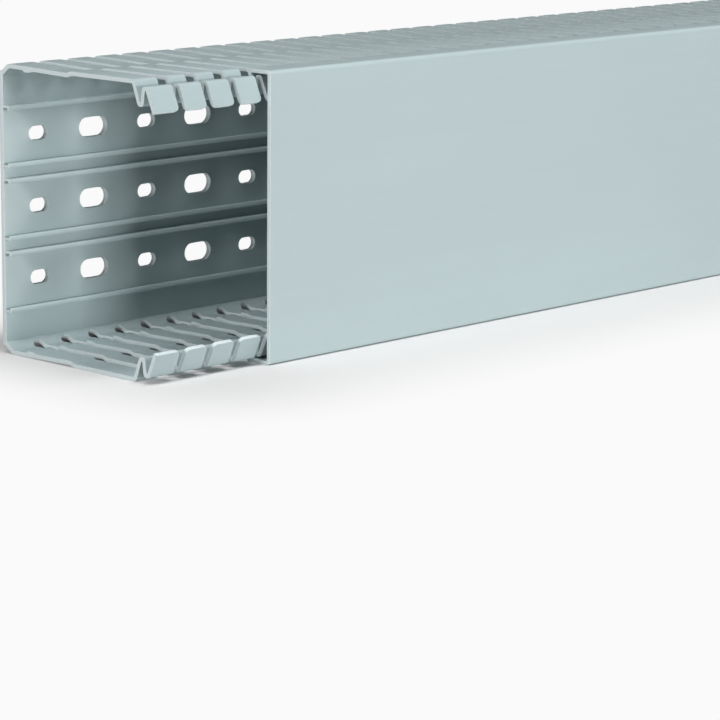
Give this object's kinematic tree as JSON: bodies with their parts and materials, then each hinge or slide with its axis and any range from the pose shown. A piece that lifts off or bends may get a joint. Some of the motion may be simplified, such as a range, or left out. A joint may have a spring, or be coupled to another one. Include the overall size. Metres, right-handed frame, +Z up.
{
  "type": "slotted wire duct",
  "caption": "Slotted plastic wiring duct with an open front end, clip-headed side fingers, oblong base holes, hooked base ribs and a slide-on cover set back from the end.",
  "frame": {"origin": "on the floor under the middle of the whole, cover included, with the duct lying on one slotted side", "axes": "+X along the duct, away from the end the cover is set back from; +Y towards the mounting base; +Z up, across the duct's width"},
  "size_m": [1.05, 0.08, 0.1],
  "materials": {
    "duct_grey": "smooth extruded, satin",
    "cover_grey": "smooth extruded, satin"
  },
  "bodies": {
    "trunking": {"trunking_body": "duct_grey"},
    "cover": {"cover": "cover_grey"}
  },
  "joints": [
    {"name": "cover_slide", "type": "slide", "parent": "trunking", "child": "cover", "axis": [1, 0, 0], "range_m": [-0.05, 0.9]}
  ]
}
